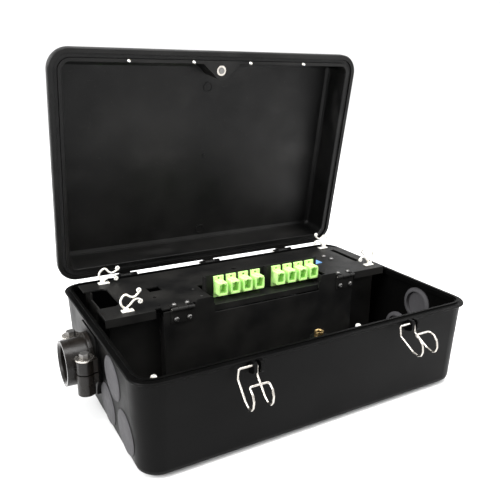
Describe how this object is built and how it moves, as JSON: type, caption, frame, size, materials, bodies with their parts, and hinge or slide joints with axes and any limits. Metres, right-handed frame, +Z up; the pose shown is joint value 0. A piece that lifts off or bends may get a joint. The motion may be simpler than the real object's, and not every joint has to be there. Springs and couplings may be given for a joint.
{
  "type": "fiber termination box",
  "caption": "Wall or pole fibre termination box with hinged lid, wire bail latches, clamped cable port, entry grommets and a swing-up adapter panel over splice trays.",
  "frame": {"origin": "centre of the underside, on the plane the feet stand on", "axes": "+X along the length away from the cable port, +Y towards the lid hinge, +Z up"},
  "size_m": [0.3667, 0.3002, 0.3195],
  "materials": {
    "tub_plastic": "moulded satin black",
    "lid_plastic": "moulded satin black",
    "port_plastic": "semi-gloss black",
    "rubber_grey": "matt grey",
    "gasket_rubber": "matt black",
    "coated_steel": "fine black powder coat",
    "stainless_wire": "bright drawn wire",
    "zinc_steel": "zinc plated",
    "brass_insert": "turned",
    "nylon": "natural nylon",
    "adapter_green": "moulded green",
    "tray_plastic": "moulded dark grey",
    "tray_clear": "clear",
    "comb_foam": "soft grey",
    "tag_blue": "blue"
  },
  "bodies": {
    "base": {"base_tub": "tub_plastic", "base_feet": "tub_plastic", "brass_insert": "brass_insert", "hinge_pins": "zinc_steel", "port_tube": "port_plastic", "port_locknut": "port_plastic", "port_clamp_upper": "port_plastic", "port_clamp_lower": "port_plastic", "port_bolts": "zinc_steel", "port_washers": "zinc_steel", "port_nuts": "zinc_steel", "grommets_left": "rubber_grey", "grommets_right": "rubber_grey", "post_caps": "nylon", "chassis_frame": "coated_steel", "front_panel": "coated_steel", "chassis_screws": "zinc_steel", "panel_screws": "zinc_steel", "leaf_hinge_fixed": "coated_steel", "leaf_pins": "zinc_steel", "leaf_screws_panel": "zinc_steel", "tray_studs": "zinc_steel", "splice_tray_lower": "tray_plastic", "splice_tray_upper": "tray_plastic", "splice_combs": "comb_foam", "tray_cover": "tray_clear", "tray_nuts": "nylon"},
    "lid": {"lid_shell": "lid_plastic", "lid_gasket": "gasket_rubber", "lid_pegs": "nylon", "lock_bolt_retainer": "zinc_steel"},
    "lock_bolt": {"lock_bolt": "zinc_steel"},
    "swing_panel": {"swing_plate": "coated_steel", "leaf_hinge_moving": "coated_steel", "leaf_screws_plate": "zinc_steel", "adapter_bracket": "coated_steel", "plate_screws": "zinc_steel", "adapters_left": "adapter_green", "adapters_right": "adapter_green", "cable_clips": "nylon", "corner_tag": "tag_blue"},
    "latch_left": {"latch_bail_left": "stainless_wire"},
    "latch_right": {"latch_bail_right": "stainless_wire"}
  },
  "joints": [
    {"name": "lid_hinge", "type": "hinge", "parent": "base", "child": "lid", "pos_m": [0, 0.1196, 0.085], "axis": [-1, 0, 0], "range_deg": [-80.3, 14]},
    {"name": "lock_bolt_spin", "type": "hinge", "parent": "lid", "child": "lock_bolt", "pos_m": [0, 0.0852, 0.29988], "axis": [0, 0.9857, 0.1685], "continuous": true},
    {"name": "swing_panel_hinge", "type": "hinge", "parent": "base", "child": "swing_panel", "pos_m": [0.0075, -0.006, 0.091], "axis": [1, 0, 0], "range_deg": [0, 100]},
    {"name": "latch_left_pivot", "type": "hinge", "parent": "base", "child": "latch_left", "pos_m": [-0.082, -0.1195, 0.084], "axis": [1, 0, 0], "range_deg": [-128, 4]},
    {"name": "latch_right_pivot", "type": "hinge", "parent": "base", "child": "latch_right", "pos_m": [0.082, -0.1195, 0.084], "axis": [1, 0, 0], "range_deg": [-109, 23]}
  ]
}
